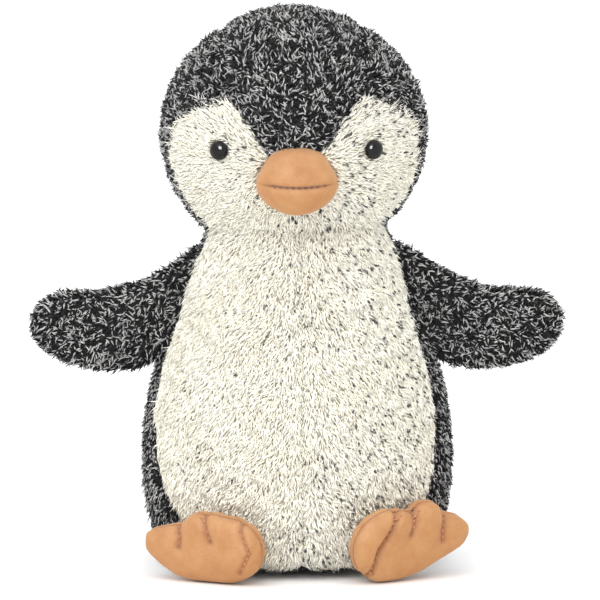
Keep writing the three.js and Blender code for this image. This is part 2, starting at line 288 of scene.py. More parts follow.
def signed_distance(points, outline):
    """Distance in the plane to a closed outline, negative inside it."""
    outline = np.asarray(outline, float)
    nearest = np.full(len(points), np.inf)
    inside = np.zeros(len(points), bool)
    for a, b in zip(outline, np.roll(outline, -1, axis=0)):
        edge = b - a
        nearest = np.minimum(nearest, edge_distance(points, a, b))
        crosses = (a[1] > points[:, 1]) != (b[1] > points[:, 1])
        rise = np.where(crosses, (points[:, 1] - a[1]) / (edge[1] if edge[1] else 1), 0)
        inside ^= crosses & (points[:, 0] < a[0] + rise * edge[0])
    return np.where(inside, -nearest, nearest)


def polyline_distance(points, line):
    """Distance in the plane to an open line, which is given in mm."""
    line = np.asarray(line, float) * MM
    nearest = np.full(len(points), np.inf)
    for a, b in zip(line[:-1], line[1:]):
        nearest = np.minimum(nearest, edge_distance(points, a, b))
    return nearest


def rounded(outline, passes=2):
    """An outline with its corners cut again and again, which makes it a smooth curve."""
    points = np.asarray(outline, float)
    for _ in range(passes):
        following = np.roll(points, -1, axis=0)
        points = np.stack([0.75 * points + 0.25 * following, 0.25 * points + 0.75 * following], 1)
        points = points.reshape(-1, 2)
    return points


def split_along(co, tri, field):
    """Cut every triangle that the line field = 0 crosses."""
    positive = field[tri] > 0
    count = positive.sum(1)
    whole = (count == 0) | (count == 3)
    mixed, flags = tri[~whole], positive[~whole]
    lone = np.argmax(flags == (count[~whole] == 1)[:, None], axis=1)
    row = np.arange(len(mixed))
    a, b, c = (mixed[row, (lone + k) % 3] for k in range(3))
    pairs = np.sort(np.concatenate([np.stack([a, b], 1), np.stack([a, c], 1)]), axis=1)
    edges, index = np.unique(pairs, axis=0, return_inverse=True)
    index = index.reshape(-1) + len(co)
    share = field[edges[:, 0]] / (field[edges[:, 0]] - field[edges[:, 1]])
    share = np.clip(share, 0.02, 0.98)[:, None]  # a cut keeps clear of the corners
    cut = co[edges[:, 0]] * (1 - share) + co[edges[:, 1]] * share
    ab, ac = index[: len(mixed)], index[len(mixed) :]
    pieces = [tri[whole], np.stack([a, ab, ac], 1), np.stack([ab, b, c], 1), np.stack([ab, c, ac], 1)]
    return np.concatenate([co, cut]), np.concatenate(pieces)


# ---------------------------------------------------------------- stuffed forms


def smoothed(obj, factor, times):
    smooth = obj.modifiers.new("Smooth", "SMOOTH")
    smooth.factor = factor
    smooth.iterations = times
    apply_modifiers(obj)


def voxel_remesh(obj, voxel):
    remesh = obj.modifiers.new("Remesh", "REMESH")
    remesh.mode = "VOXEL"
    remesh.voxel_size = voxel
    apply_modifiers(obj)


def joined_copy(name, nodes, *more):
    """One mesh with the surfaces of several CAD nodes, and of other objects, which are used up."""
    co, faces, start = [], [], 0
    for source in [frame["nodes"][n] for n in nodes] + list(more):
        points, tri = points_of(source), triangles_of(source)
        co.append(points)
        faces.append(tri + start)
        start += len(points)
    for source in more:
        remove(source)
    return build_mesh(name, np.concatenate(co), np.concatenate(faces))


def move_along_normals(obj, distance):
    """Make a form larger all over, or smaller where the distance is negative."""
    co, tri = points_of(obj), triangles_of(obj)
    set_points(obj, co + vertex_normals(co, tri) * distance)


def add_cloth(obj, pinned):
    """Cloth that a pressure fills, held where pinned is true."""
    group = obj.vertex_groups.new(name="pinned")
    group.add(np.flatnonzero(pinned).tolist(), 1.0, "REPLACE")
    cloth = obj.modifiers.new("Cloth", "CLOTH")
    settings = cloth.settings
    settings.quality = 5
    settings.mass = 0.3
    settings.use_pressure = True
    settings.uniform_pressure_force = PRESSURE
    settings.vertex_group_mass = group.name
    settings.effector_weights.gravity = 0
    cloth.point_cache.frame_start = 1
    cloth.point_cache.frame_end = CLOTH_FRAMES


def inflate(forms):
    """Run the cloth on every form at once: each is an object, its pinned points and its most swell."""
    rest = {}
    for obj, pinned, _ in forms:
        rest[obj.name] = points_of(obj)
        add_cloth(obj, pinned)
    scene = bpy.context.scene
    for number in range(1, CLOTH_FRAMES + 1):
        scene.frame_set(number)
    depsgraph = bpy.context.evaluated_depsgraph_get()
    moved = {}
    for obj, _, _ in forms:
        moved[obj.name] = points_of(obj.evaluated_get(depsgraph))
    scene.frame_set(1)
    for obj, _, swell in forms:
        obj.modifiers.clear()
        obj.vertex_groups.clear()
        move = moved[obj.name] - rest[obj.name]
        length = np.linalg.norm(move, axis=1, keepdims=True)
        set_points(obj, rest[obj.name] + move * np.minimum(1, swell / np.maximum(length, 1e-9)))


def refine(obj, levels=1):
    smoothed(obj, 0.5, 2)
    subdivision = obj.modifiers.new("Subdivision", "SUBSURF")
    subdivision.levels = levels
    apply_modifiers(obj)


def circle(count):
    """The cosine and sine of evenly spaced angles."""
    angle = np.arange(count) * 2 * math.pi / count
    return np.cos(angle), np.sin(angle)


def head_form():
    """The head without its pile: fuller in the cheeks than an ellipsoid, and flat inside the neck."""
    around, upward, top = 64, 30, math.radians(86)
    half = HEAD_HALF - PILE_DEPTH - BODY_SWELL / 2
    bottom = (NECK_BOTTOM_Z - 3 * MM - HEAD_CENTRE[2]) / half[2]
    cos, sin = circle(around)
    rings = []
    for latitude in np.linspace(math.asin(bottom), top, upward):
        r, z = math.cos(latitude), math.sin(latitude)
        wide = r ** (CROWN_NARROWING if z > 0 else JOWL_FULLNESS)
        ring = np.stack([wide * cos, r * sin, np.full_like(cos, z)], 1) * half
        ring[:, 0] += RIGHT_JOWL * np.clip(cos, 0, 1) ** 3 * wide
        rings.append(HEAD_CENTRE + ring)
    return ring_form("head_form", rings)


def body_half_widths(z, inset=0.0):
    """The body's half width, front depth and back depth at each height."""
    width = np.interp(z, BODY_Z, BODY_W) - inset
    return width, width * BODY_FRONT, width * BODY_BACK


def body_form():
    """The body without its pile: a flat base with a lifted rim, and rings up to the neck."""
    around, upward, base_shares = 72, 50, (0.3, 0.6)
    cos, sin = circle(around)
    inset = PILE_DEPTH + BODY_SWELL / 2
    rings = []
    floor = FLOOR_CLEARANCE + BACKING
    for share in base_shares:
        width, front, back = body_half_widths(0, inset)
        depth = np.where(sin < 0, front, back)
        rings.append(np.stack([width * cos * share, depth * sin * share, np.full_like(cos, floor)], 1))
    for z in np.linspace(0, NECK_TOP_Z + 2 * MM, upward):
        width, front, back = body_half_widths(z, inset)
        depth = np.where(sin < 0, front, back)
        low = floor + BASE_LIFT * np.clip(1 - z / BASE_LIFT_TOP, 0, 1)
        rings.append(np.stack([width * cos, depth * sin, np.full_like(cos, max(z, low))], 1))
    return ring_form("body_form", rings)


def prism(name, outline, half_depth):
    """A closed prism along Y, its outline given in X and Z."""
    rings = []
    for y in (half_depth, -half_depth):
        rings.append(np.array([[x, y, z] for x, z in outline]))
    return ring_form(name, rings)


# The shoulder that widens a flipper's root to the side seam, from the neck round to the armpit.
SHOULDER = np.array([[38, 134], [50, 124.5], [62, 117.5], [70, 113], [70, 88], [62, 84], [50, 86],
                     [42, 100], [36, 120]]) * MM
SHOULDER_HALF_DEPTH = 4.6 * MM

# The right shoulder is stuffed a little higher than the left. The lift fades in and out over
# the span, from the neck outwards, and over the height of the root.
SHOULDER_LIFT = {"right": 2.6 * MM, "left": -0.2 * MM}
SHOULDER_SPAN = np.array([36, 46, 58, 82]) * MM
SHOULDER_HEIGHT = [92 * MM, 108 * MM]
FLIPPER_EASE = 0.55  # of the pile's depth: a flipper is drawn in less than the body is


def flipper_form(prefix, side):
    """A flipper without its pile, from its CAD solids and a wedge that fills out the shoulder."""
    outline = SHOULDER * [side, 1]
    wedge = prism("wedge", outline if side < 0 else outline[::-1], SHOULDER_HALF_DEPTH)
    nodes = [f"{prefix}_flipper_{part}" for part in ("front", "back", "stuffing")]
    obj = joined_copy(f"{prefix}_flipper_form", nodes, wedge)
    voxel_remesh(obj, FLIPPER_VOXEL)
    smoothed(obj, 0.5, 5)
    move_along_normals(obj, -PILE_DEPTH * FLIPPER_EASE)
    co = points_of(obj)
    across = np.interp(np.abs(co[:, 0]), SHOULDER_SPAN, [0, 1, 1, 0])
    upper = np.interp(co[:, 2], SHOULDER_HEIGHT, [0, 1])
    co[:, 2] += SHOULDER_LIFT[prefix] * across * upper
    set_points(obj, co)
    return obj


def foot_form(prefix, side):
    """A foot, its heel drawn back to where it is sewn to the body."""
    nodes = [f"{prefix}_foot_{part}" for part in ("sole", "top", "stuffing")]
    obj = joined_copy(f"{prefix}_foot_form", nodes)
    place = FootFrame(prefix, side)
    co = points_of(obj)
    u, v, w = place.local(co).T
    low = np.interp(w, [2 * MM, 13 * MM], [1, 0])
    heel = np.exp(-(((u - HEEL_U[prefix]) / HEEL_REACH) ** 2)) * low
    behind = np.interp(v, [0, 4 * MM], [0, 1])
    co += place.v * (HEEL_DEPTH * heel * behind)[:, None]
    set_points(obj, co)
    voxel_remesh(obj, SUEDE_VOXEL)
    smoothed(obj, 0.5, 4)
    move_along_normals(obj, FOOT_EASE)
    return obj


def beak_form():
    """A rounded hexagon seen from the front, its sides drawn in to a narrow top."""
    around, upward, top = 48, 28, 86
    rings = []
    cos, sin = circle(around)
    for latitude in np.linspace(-top, top, upward):
        a = math.radians(latitude)
        r, z = math.cos(a), math.sin(a)
        above = (1 - BEAK_DRAW * max(z, 0) ** 1.1) * math.sqrt(1 - z**12)  # nearly straight sides
        below = r**1.15  # a rounded chin
        ring = np.stack([(above if z > 0 else below) * cos, r**0.9 * sin, np.full_like(cos, z)], 1)
        rings.append(BEAK_CENTRE + ring * (BEAK_HALF + BEAK_EASE))
    obj = ring_form("beak_form", rings)
    voxel_remesh(obj, SUEDE_VOXEL)
    return obj


# ---------------------------------------------------------------- seams


def head_outline(points, side=1):
    return np.asarray(points, float) * MM * [side, 1] + [HEAD_CENTRE[0], 0]


# A cream cheek seen from the front: X from the head's middle, and Z. It is taken in a little
# at the top, where the cream pile lies out over its seam.
CHEEK = rounded([[0, 100], [50, 100], [50, 181], [43, 188.5], [32.5, 194], [25.5, 195.3],
                 [20.3, 189.5], [12, 176], [0, 164]], 2)
CHEEK[CHEEK[:, 0] < 1] *= [0, 1]  # the rounding leaves the middle seam straight
LEFT_CHEEK_DROP = 1.8 * MM

# The dark strip over the crown: its half width on top and at the nape, and the heights between
# which it widens at the front and at the back.
CROWN_HALF = 27 * MM
NAPE_HALF = 15 * MM
CROWN_FRONT_Z = [150 * MM, 196 * MM]
CROWN_BACK_Z = [NECK_BOTTOM_Z, 198 * MM]


def cheek_field(co):
    """Distance to the cream face patches, negative on them."""
    seen = co[:, [0, 2]]
    right, left = head_outline(CHEEK), head_outline(CHEEK, -1) - [0, LEFT_CHEEK_DROP]
    flat = np.minimum(signed_distance(seen, right), signed_distance(seen, left))
    return np.maximum(flat, co[:, 1] - CHEEK_BACK_Y)


def gusset_field(co):
    """Distance to the strip over the crown, negative on it."""
    across = np.abs(co[:, 0] - HEAD_CENTRE[0])
    front_half = np.interp(co[:, 2], CROWN_FRONT_Z, [0, CROWN_HALF])
    back_half = np.interp(co[:, 2], CROWN_BACK_Z, [NAPE_HALF, CROWN_HALF])
    return across - np.where(co[:, 1] < 0, front_half, back_half)


def head_middle(co):
    return co[:, 0] - HEAD_CENTRE[0]


# The edge of the cream belly seen from the front, from the base to the neck: X and Z in mm.
BELLY_EDGE = np.array([[34, -2], [37, 6], [45.5, 21], [53, 33], [56.8, 46], [57.8, 66], [54, 84],
                       [47, 104], [41.8, 124], [36.2, 136], [33.5, 142]])
BELLY_TRIM = 3.4 * MM  # the right side's edge comes in by this much
BELLY_TRIM_TOP = 134 * MM
BASE_MARGIN = 3 * MM  # the base panel ends this far inside the widest ring of the base
BASE_TOP_Z = 6 * MM


def belly_field(co):
    """Distance to the cream belly, negative on it."""
    edge = np.interp(co[:, 2], BELLY_EDGE[:, 1] * MM, BELLY_EDGE[:, 0] * MM)
    trim = BELLY_TRIM * np.sin(math.pi * np.clip(co[:, 2] / BELLY_TRIM_TOP, 0, 1))
    edge = np.where(co[:, 0] > 0, edge - trim, edge)
    return np.maximum(np.abs(co[:, 0]) - edge, co[:, 1] - BELLY_BACK_Y)


def body_middle(co):
    return co[:, 0]


def base_field(co):
    """Distance to the base panel, negative on it."""
    depth = np.where(co[:, 1] < 0, BODY_FRONT, BODY_BACK)
    across = np.hypot(co[:, 0], co[:, 1] / depth) - (BASE_R - BASE_MARGIN)
    return np.maximum(across, co[:, 2] - BASE_TOP_Z)


def head_labels(co):
    """The CAD node that each place on the head belongs to."""
    side = np.where(head_middle(co) > 0, "right", "left")
    dark = np.where(gusset_field(co) < 0, "head_gusset", np.char.add(side, "_head_side"))
    return np.where(cheek_field(co) < 0, np.char.add(side, "_cheek"), dark)


def gusset_seam(co):
    return np.abs(gusset_field(co))


def head_seams(co):
    """Distance to the nearest seam of the head."""
    cheek, gusset = cheek_field(co), gusset_field(co)
    beside_cheek = np.where(cheek > 0, np.abs(gusset), np.abs(head_middle(co)))
    return np.minimum(np.abs(cheek), beside_cheek)


def body_labels(co):
    """The CAD node that each place on the body belongs to."""
    side = np.where(body_middle(co) > 0, "right", "left")
    skin = np.where(belly_field(co) < 0, np.char.add(side, "_belly"), np.char.add(side, "_back"))
    return np.where(base_field(co) < 0, "base_panel", skin)


def body_seams(co):
    """Distance to the nearest seam of the body."""
    belly, middle, base = (np.abs(field(co)) for field in (belly_field, body_middle, base_field))
    return np.minimum(np.minimum(belly, middle), base)


def pressed_seam(co, normals, distance):
    """Points near a seam, drawn in to it."""
    return co - normals * (SEAM_DEPTH * np.exp(-((distance / SEAM_REACH) ** 2)))[:, None]


# ---------------------------------------------------------------- panels


def cut_panels(obj, fields, labels, seams, keep):
    """Cut a form along its seams. Returns points, normals and triangles for each panel's name."""
    co, tri = points_of(obj), triangles_of(obj)
    for field in fields:
        co, tri = split_along(co, tri, field(co))
    tri = tri[keep(co[tri].mean(1))]
    name_of = labels(co[tri].mean(1))
    normals = vertex_normals(co, tri)
    co = pressed_seam(co, normals, seams(co))
    normals = vertex_normals(co, tri)
    remove(obj)
    panels = {}
    for name in np.unique(name_of):
        part = tri[name_of == name]
        used, index = np.unique(part, return_inverse=True)
        panels[str(name)] = (co[used], normals[used], index.reshape(-1, 3))
    return panels


def fill(node, form, inset, move):
    """The stuffing behind a form's fabric, lumpy as loose fibre is. Call it before the form is cut."""
    co, tri = points_of(form), triangles_of(form)
    normals = vertex_normals(co, tri)
    lumps = wander(co, 9 * MM, len(node))[:, :1] * 0.25 * MM
    depth = inset + np.abs(lumps)
    for seat, _ in EYES.values():
        behind = np.linalg.norm(co - seat, axis=1)[:, None] < WASHER_ROOM
        depth = np.where(behind, WASHER_DEPTH, depth)
    piece = build_mesh(f"{node}_fibre", co - normals * depth, tri)
    paint_with(piece, "fibre_fill")
    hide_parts(node)
    move(piece)


def boundary_edges(tri):
    """The edges that only one triangle has, in that triangle's direction."""
    edges = np.concatenate([tri[:, [0, 1]], tri[:, [1, 2]], tri[:, [2, 0]]])
    key = np.sort(edges, axis=1)
    _, first, counts = np.unique(key, axis=0, return_index=True, return_counts=True)
    return edges[first[counts == 1]]


def thick_panel(name, panel, thickness):
    """A closed piece of fabric: the outer face, an inner face and a rim."""
    co, normals, tri = panel
    count = len(co)
    rim = boundary_edges(tri)
    a, b = rim[:, 0], rim[:, 1]
    walls = [np.stack([b, a, a + count], 1), np.stack([b, a + count, b + count], 1)]
    faces = np.concatenate([tri, tri[:, ::-1] + count] + walls)
    return build_mesh(name, np.concatenate([co, co - normals * thickness]), faces)


# ---------------------------------------------------------------- pile

# A lock has three points at its root, three at its middle and one at its tip.
LOCK_POINTS = 7
LOCK_FACES = np.array([[0, 1, 4], [0, 4, 3], [1, 2, 5], [1, 5, 4], [2, 0, 3], [2, 3, 5],
                       [3, 4, 6], [4, 5, 6], [5, 3, 6], [0, 2, 1]])
LOCK_TIP = np.array([0, 0, 0, 0.5, 0.5, 0.5, 1.0])  # how far along the lock each point is
LOCK_U = np.array([0.15, 0.5, 0.85, 0.15, 0.5, 0.85, 0.5])
LOCK_V = np.array([0.08, 0.08, 0.08, 0.5, 0.5, 0.5, 0.92])
ROOT_SINK = 0.5 * MM
SHORT_BELOW = [3 * MM, 10 * MM]  # near the floor the locks are worn down to half their length

# density is locks per square millimetre, lean and tangle are in degrees
DARK_PILE = {"density": 1.36, "length": 3.8 * MM, "width": 0.86 * MM, "lean": 52, "tangle": 90}
CREAM_PILE = {"density": 2.1, "length": 5.0 * MM, "width": 0.66 * MM, "lean": 78, "tangle": 26}
PRESSED_PILE = {"density": 0.9, "length": 3.0 * MM, "width": 1.1 * MM, "lean": 84, "tangle": 60}
# Painted shade: short dark locks in the cream pile stand where deep gaps between the locks fall dark.
GAP_SHADE_SHARE = 0.036  # of the locks in the cream pile, where the dark locks of painted gap shade are thickest
SEAM_PART = 1.5 * MM  # each side of a seam the pile is caught in it and lies shorter
GAP_SHADE_LENGTH = 0.34  # of a cream lock's length
GAP_SHADE_WIDTH = 1.5  # of a cream lock's width
GAP_SHADE_RISE = 2.1 * MM  # they lie on top of the others
GAP_SHADE_SLANT = 0.45 / (40 * MM)  # they are thicker towards the right


def sample_roots(panel, density, rng):
    """Roots spread evenly over a panel by area, with the fabric's normal at each."""
    co, normals, tri = panel
    a, b, c = co[tri[:, 0]], co[tri[:, 1]], co[tri[:, 2]]
    area = np.linalg.norm(np.cross(b - a, c - a), axis=1) / 2
    count = int(area.sum() * density / MM**2)
    reached = np.cumsum(area) / area.sum()
    picks = np.searchsorted(reached, (np.arange(count) + rng.random(count)) / count)
    picks = np.minimum(picks, len(tri) - 1)
    u, v = rng.random(count), rng.random(count)
    folded = u + v > 1
    u, v = np.where(folded, 1 - u, u), np.where(folded, 1 - v, v)
    weights = np.stack([1 - u - v, u, v], 1)[:, :, None]
    root = (co[tri[picks]] * weights).sum(1)
    return root, unit((normals[tri[picks]] * weights).sum(1))


def grow_pile(name, panel, style, comb, keep_out, seed, seams=None):
    """The pile of one panel: thousands of tapered locks that follow a combed direction."""
    rng = np.random.default_rng(seed)
    root, normal = sample_roots(panel, style["density"], rng)
    kept = ~keep_out(root)
    root, normal = root[kept], normal[kept]
    count = len(root)
    swirl = wander(root, 14 * MM, seed + 1)
    clump = wander(root, 5 * MM, seed + 2)
    along = comb(root)
    along = unit(along - (along * normal).sum(1, keepdims=True) * normal)
    across = np.cross(normal, along)
    tangle = math.radians(style["tangle"])
    turn = (swirl[:, 0] * 0.6 + clump[:, 0] * 0.5 + rng.normal(0, 0.45, count)) * tangle
    along = along * np.cos(turn)[:, None] + across * np.sin(turn)[:, None]
    across = np.cross(normal, along)
    lean = math.radians(style["lean"]) * (1 + 0.25 * clump[:, 1] + rng.normal(0, 0.18, count))
    lean = np.clip(lean, 0, math.radians(88))
    length = style["length"] * np.clip(1 + 0.16 * clump[:, 2] + rng.normal(0, 0.16, count), 0.5, 1.6)
    length *= np.interp(root[:, 2], SHORT_BELOW, [0.5, 1.0])
    if seams:
        caught = np.exp(-((seams(root) / SEAM_PART) ** 2))
        length *= 1 - 0.45 * caught
        lean = np.minimum(lean * (1 + 0.3 * caught), math.radians(88))
    # Painted shade: a few cream locks are made short, wide, raised and dark, standing for the deep gaps between
    # locks.
    thick = 0.3 + 0.6 * wander(root, 34 * MM, 7)[:, 0] + GAP_SHADE_SLANT * root[:, 0]
    gap_shade_locks = rng.random(count) < GAP_SHADE_SHARE * np.clip(thick, 0, 1)
    length = np.where(gap_shade_locks, length * GAP_SHADE_LENGTH, length)
    root = root + normal * (GAP_SHADE_RISE * gap_shade_locks)[:, None]
    width = style["width"] * rng.uniform(0.75, 1.25, count)
    width = np.where(gap_shade_locks, width * GAP_SHADE_WIDTH, width)

    def heading(angle):
        return normal * np.cos(angle)[:, None] + along * np.sin(angle)[:, None]

    low, high = heading(lean * 0.55), heading(np.minimum(lean * 1.35, math.radians(95)))
    curl = across * (rng.normal(0, 0.16, count) * length)[:, None]
    middle = root + low * (0.5 * length)[:, None] + curl * 0.3
    tip = middle + high * (0.55 * length)[:, None] + curl
    co = np.empty((count, LOCK_POINTS, 3))
    phase = rng.uniform(0, 2 * math.pi, count)
    for corner in range(3):
        angle = phase + corner * 2 * math.pi / 3
        cos, sin = np.cos(angle)[:, None], np.sin(angle)[:, None]
        flat = along * cos + across * sin
        co[:, corner] = root - normal * ROOT_SINK + flat * (width * 0.42)[:, None]
        upright = np.cross(across, low)
        co[:, corner + 3] = middle + (upright * cos + across * sin) * (width * 0.5)[:, None]
    co[:, -1] = tip
    co[:, :, 2] = np.maximum(co[:, :, 2], FLOOR_CLEARANCE * 0.5)
    faces = (LOCK_FACES[None] + LOCK_POINTS * np.arange(count)[:, None, None]).reshape(-1, 3)
    obj = build_mesh(name, co.reshape(-1, 3), faces)
    add_attribute(obj, "tip", np.tile(LOCK_TIP, count))
    add_attribute(obj, "lock", np.repeat(rng.random(count), LOCK_POINTS))
    # The fleck attribute marks the locks of painted gap shade.
    add_attribute(obj, "fleck", np.repeat(gap_shade_locks, LOCK_POINTS))
    add_lock_cells(obj, count, faces)
    return obj


def add_attribute(obj, name, values):
    attribute = obj.data.attributes.new(name, "FLOAT", "POINT")
    attribute.data.foreach_set("value", values.astype(np.float32))


def add_lock_cells(obj, count, faces):
    """A UV map with a cell for each lock, its root low and its tip high in the cell."""
    cells = math.ceil(math.sqrt(count))
    column, row = np.arange(count) % cells, np.arange(count) // cells
    u = (column[:, None] + LOCK_U) / cells
    v = (row[:, None] + LOCK_V) / cells
    uv = np.stack([u.ravel(), v.ravel()], 1)[faces.ravel()]
    layer = obj.data.uv_layers.new(name="OFBake")
    layer.data.foreach_set("uv", uv.astype(np.float32).ravel())


def comb_head(root):
    """Away from the beak, over the crown and down the back."""
    face = BEAK_CENTRE + [0, -10 * MM, 4 * MM]
    return root - face


def comb_body(root):
    """Down, and away from the middle seams."""
    out = np.clip(root[:, 0] / (12 * MM), -1, 1) * 0.45
    return np.stack([out, np.zeros(len(root)), np.full(len(root), -1.0)], 1)


def comb_base(root):
    """Outwards from the middle of the base."""
    return root * [1, 1, 0] + [0, 1e-6, 0]


def comb_flipper(side):
    """Along the flipper to its tip, and a little down."""
    def comb(root):
        return np.tile([side * 1.0, 0.0, -0.3], (len(root), 1))
    return comb


def inside_body(co, grow=0.0):
    """Whether each place is inside the body, made larger by grow."""
    width, front, back = body_half_widths(co[:, 2])
    depth = np.where(co[:, 1] < 0, front, back)
    return np.hypot(co[:, 0] / (width + grow), co[:, 1] / (depth + grow)) < 1


def near_face_parts(co):
    """Where the head bears no pile: under the beak and round the eyes."""
    bare = np.linalg.norm((co - BEAK_CENTRE) / (BEAK_HALF - 1.4 * MM), axis=1) < 1
    bare &= co[:, 1] < 0
    for seat, _ in EYES.values():
        bare |= np.linalg.norm(co - seat, axis=1) < EYE_R + EYE_CLEAR
    return bare


# ---------------------------------------------------------------- materials


class Paint:
    """A material with a few short ways to add nodes to it."""

    def __init__(self, name, roughness, **sockets):
        self.material = bpy.data.materials.new(name)
        self.material.use_nodes = True
        self.nodes = self.material.node_tree.nodes
        self.links = self.material.node_tree.links
        self.shader = self.nodes["Principled BSDF"]
        self.shader.inputs["Roughness"].default_value = roughness
        for key, value in sockets.items():
            self.shader.inputs[key.replace("_", " ")].default_value = value

    def link(self, source, target):
        self.links.new(source, target)

    def place(self):
        return self.nodes.new("ShaderNodeTexCoord").outputs["Object"]

    def attribute(self, name):
        node = self.nodes.new("ShaderNodeAttribute")
        node.attribute_name = name
        return node.outputs["Fac"]

    def noise(self, scale, detail=3.0, roughness=0.55, stretch=None):
        node = self.nodes.new("ShaderNodeTexNoise")
        node.inputs["Scale"].default_value = scale
        node.inputs["Detail"].default_value = detail
        node.inputs["Roughness"].default_value = roughness
        place = self.place()
        if stretch:
            mapping = self.nodes.new("ShaderNodeMapping")
            mapping.inputs["Scale"].default_value = stretch
            self.link(place, mapping.inputs["Vector"])
            place = mapping.outputs["Vector"]
        self.link(place, node.inputs["Vector"])
        return node.outputs["Fac"]

    def math(self, operation, a, b):
        node = self.nodes.new("ShaderNodeMath")
        node.operation = operation
        for slot, value in enumerate((a, b)):
            if isinstance(value, (int, float)):
                node.inputs[slot].default_value = value
            else:
                self.link(value, node.inputs[slot])
        return node.outputs["Value"]

    def ramp(self, factor, stops):
        """stops holds a position and a colour for each stop."""
        node = self.nodes.new("ShaderNodeValToRGB")
        elements = node.color_ramp.elements
        while len(elements) < len(stops):
            elements.new(0.5)
        for element, (position, color) in zip(elements, stops):
            element.position = position
            element.color = (*color, 1)
        self.link(factor, node.inputs["Fac"])
        return node.outputs["Color"]

    def mix(self, factor, a, b, blend="MIX"):
        node = self.nodes.new("ShaderNodeMix")
        node.data_type = "RGBA"
        node.blend_type = blend
        for key, kind, value in (("Factor", "VALUE", factor), ("A", "RGBA", a), ("B", "RGBA", b)):
            socket = next(s for s in node.inputs if s.name == key and s.type == kind)
            if isinstance(value, (int, float)):
                socket.default_value = value
            elif isinstance(value, tuple):
                socket.default_value = (*value, 1)
            else:
                self.link(value, socket)
        return next(s for s in node.outputs if s.type == "RGBA")

    def color(self, source):
        self.link(source, self.shader.inputs["Base Color"])

    def rough(self, source):
        self.link(source, self.shader.inputs["Roughness"])

    def bump(self, height, distance, strength=1.0):
        node = self.nodes.new("ShaderNodeBump")
        node.inputs["Distance"].default_value = distance
        node.inputs["Strength"].default_value = strength
        self.link(height, node.inputs["Height"])
        self.link(node.outputs["Normal"], self.shader.inputs["Normal"])


def dark_pile_material():
    """Charcoal locks, near black at the root, and more than a third of them with pale grey tips, which are partly
    the pile's own grey and partly painted sheen.
    """
    paint = Paint("dark_pile", 0.75, Sheen_Weight=0.03, Sheen_Roughness=0.4, Specular_IOR_Level=0.12)
    tip = paint.attribute("tip")
    # Pale tips: partly the pile's own grey, partly painted sheen; the real sheen and specular are kept low.
    shade = paint.ramp(tip, [(0.0, (0.004, 0.004, 0.004)), (0.3, (0.012, 0.012, 0.013)),
                             (0.55, (0.46, 0.457, 0.452)), (1.0, (0.86, 0.855, 0.845))])
    lock = paint.ramp(paint.attribute("lock"), [(0.0, (0.012, 0.012, 0.012)), (0.6, (0.025, 0.025, 0.026)),
                                                (0.67, (0.8, 0.8, 0.8)), (1.0, (1.0, 1.0, 1.0))])
    patch = paint.ramp(paint.noise(70), [(0.3, (0.8, 0.8, 0.82)), (0.7, (1.15, 1.14, 1.12))])
    paint.color(paint.mix(1.0, paint.mix(1.0, shade, lock, "MULTIPLY"), patch, "MULTIPLY"))
    return paint.material


def cream_pile_material():
    """Cream locks, a little warmer at the root, with a dark one here and there that is painted shade of the deep
    gaps between locks.
    """
    paint = Paint("cream_pile", 0.72, Sheen_Weight=0.3, Sheen_Roughness=0.5)
    shade = paint.ramp(paint.attribute("tip"), [(0.0, (0.96, 0.90, 0.74)), (0.5, (0.975, 0.95, 0.845)),
                                                (1.0, (0.985, 0.965, 0.89))])
    lock = paint.ramp(paint.attribute("lock"), [(0.0, (0.94, 0.925, 0.89)), (0.3, (0.985, 0.98, 0.965)),
                                                (1.0, (1.0, 1.0, 1.0))])
    patch = paint.ramp(paint.noise(45), [(0.35, (0.97, 0.96, 0.92)), (0.65, (1.0, 1.0, 1.0))])
    cream = paint.mix(1.0, paint.mix(1.0, shade, lock, "MULTIPLY"), patch, "MULTIPLY")
    # The near-black colour given to the fleck locks is painted shade.
    paint.color(paint.mix(paint.attribute("fleck"), cream, (0.02, 0.019, 0.018)))
    return paint.material


def backing_material(name, low, high):
    """The knitted backing that the pile is set in."""
    paint = Paint(name, 0.95)
    rows = paint.nodes.new("ShaderNodeTexWave")
    rows.wave_type = "BANDS"
    rows.bands_direction = "Z"
    rows.inputs["Scale"].default_value = 420
    rows.inputs["Distortion"].default_value = 1.5
    paint.link(paint.place(), rows.inputs["Vector"])
    paint.color(paint.ramp(paint.noise(900), [(0.3, low), (0.7, high)]))
    paint.bump(rows.outputs["Fac"], 0.2 * MM, 0.6)
    return paint.material


def suede_material():
    """Orange suede cloth: a short brushed nap with darker flecks and lighter rubbed patches, with painted shade
    darkening it in its creases and seams.
    """
    paint = Paint("suede", 0.85, Sheen_Weight=0.25, Sheen_Roughness=0.45)
    paint.shader.inputs["Sheen Tint"].default_value = (1.0, 0.80, 0.60, 1)
    nap = paint.noise(2600, 4.0, 0.7)
    rubbed = paint.noise(110, 4.0, 0.6)
    base = paint.ramp(rubbed, [(0.3, (0.385, 0.163, 0.048)), (0.5, (0.43, 0.196, 0.062)),
                               (0.72, (0.475, 0.23, 0.082))])
    fleck = paint.ramp(nap, [(0.3, (0.84, 0.80, 0.76)), (0.5, (1, 1, 1)), (0.75, (1.07, 1.06, 1.04))])
    # Painted shade: the colour is darkened where the crease attribute marks a crease or a seam.
    crease_shade = paint.ramp(paint.attribute("crease"), [(0.0, (1, 1, 1)), (0.45, (0.82, 0.74, 0.68)),
                                                  (1.0, (0.42, 0.30, 0.25))])
    paint.color(paint.mix(1.0, paint.mix(1.0, base, fleck, "MULTIPLY"), crease_shade, "MULTIPLY"))
    paint.rough(paint.ramp(rubbed, [(0.3, (0.9, 0.9, 0.9)), (0.7, (0.76, 0.76, 0.76))]))
    paint.bump(paint.math("ADD", nap, paint.math("MULTIPLY", rubbed, 0.8)), 0.12 * MM, 0.7)
    return paint.material


